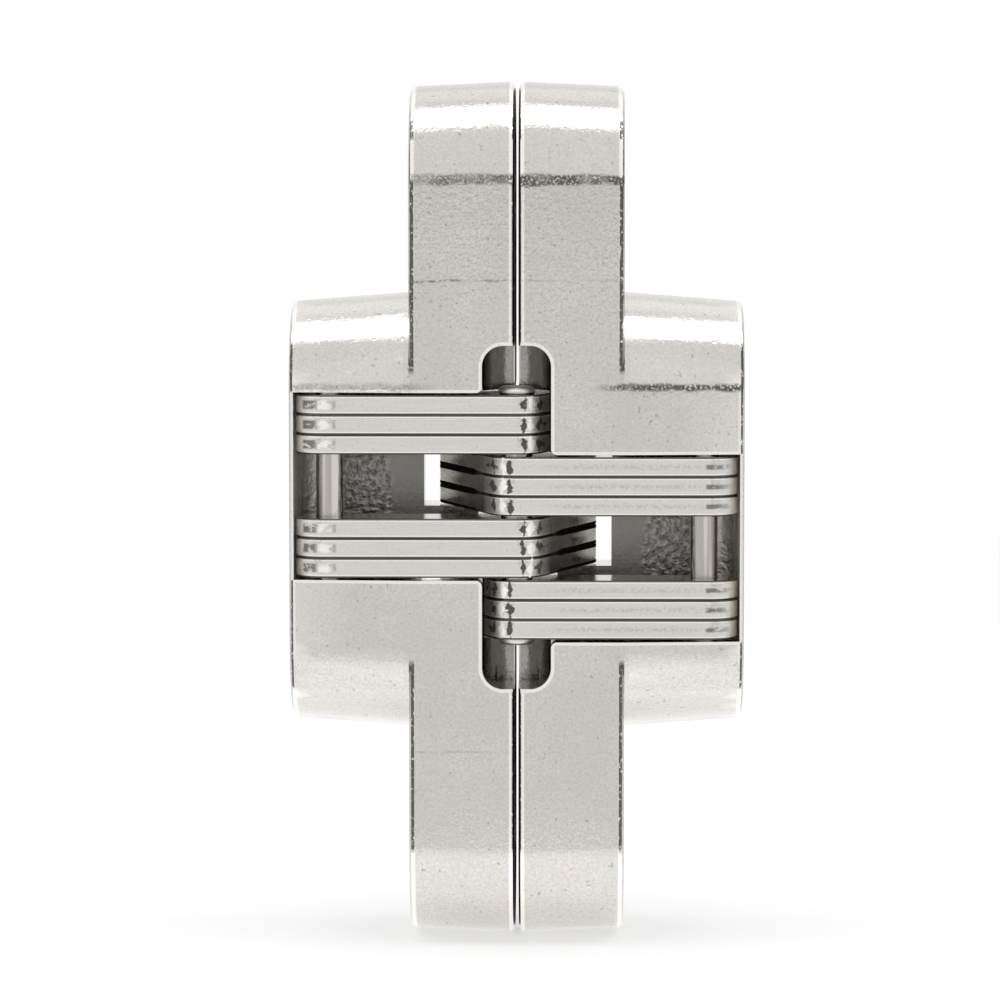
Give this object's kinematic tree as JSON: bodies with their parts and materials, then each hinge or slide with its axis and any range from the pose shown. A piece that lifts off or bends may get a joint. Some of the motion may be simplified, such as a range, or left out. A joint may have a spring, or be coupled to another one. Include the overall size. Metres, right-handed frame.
{
  "type": "concealed invisible door hinge",
  "caption": "Concealed hinge: two round-ended leaves with screw ears and deep pockets, joined by crossed links of stacked steel plates that fold into the leaves when closed.",
  "frame": {"origin": "midway between the two leaf faces, at mid length and mid width of the closed hinge", "axes": "+Z along the leaves' length, +X into the right leaf's depth, +Y across the width, away from the side that the link pockets open to"},
  "size_m": [0.0368, 0.016, 0.07],
  "materials": {
    "casting": "satin nickel plating on a die casting",
    "plate_steel": "satin nickel plated stamped steel",
    "pin_steel": "drawn steel wire, plated"
  },
  "bodies": {
    "left_leaf": {"left_leaf": "casting", "left_pivot_pin": "pin_steel"},
    "right_link": {"right_link_upper_plate_1": "plate_steel", "right_link_upper_plate_2": "plate_steel", "right_link_upper_plate_3": "plate_steel", "right_link_lower_plate_1": "plate_steel", "right_link_lower_plate_2": "plate_steel", "right_link_lower_plate_3": "plate_steel", "right_slider_pin": "pin_steel", "centre_pin": "pin_steel"},
    "left_link": {"left_link_upper_plate_1": "plate_steel", "left_link_upper_plate_2": "plate_steel", "left_link_upper_plate_3": "plate_steel", "left_link_lower_plate_1": "plate_steel", "left_link_lower_plate_2": "plate_steel", "left_link_lower_plate_3": "plate_steel", "left_slider_pin": "pin_steel"},
    "right_leaf": {"right_leaf": "casting", "right_pivot_pin": "pin_steel"}
  },
  "joints": [
    {"name": "right_link_pivot", "type": "hinge", "parent": "left_leaf", "child": "right_link", "pos_m": [-0.0042, 0.0052, 0], "axis": [0, 0, 1], "range_deg": [0, 112]},
    {"name": "link_cross_pivot", "type": "hinge", "parent": "right_link", "child": "left_link", "pos_m": [0, -0.00535, 0], "axis": [0, 0, 1], "range_deg": [-44, 0]},
    {"name": "left_link_pivot", "type": "hinge", "parent": "left_link", "child": "right_leaf", "pos_m": [0.0042, 0.0052, 0], "axis": [0, 0, 1], "range_deg": [0, 112]}
  ],
  "couplings": [
    {"joint": "link_cross_pivot", "follows": "right_link_pivot", "ratio": -0.39286},
    {"joint": "left_link_pivot", "follows": "right_link_pivot", "ratio": 1}
  ]
}
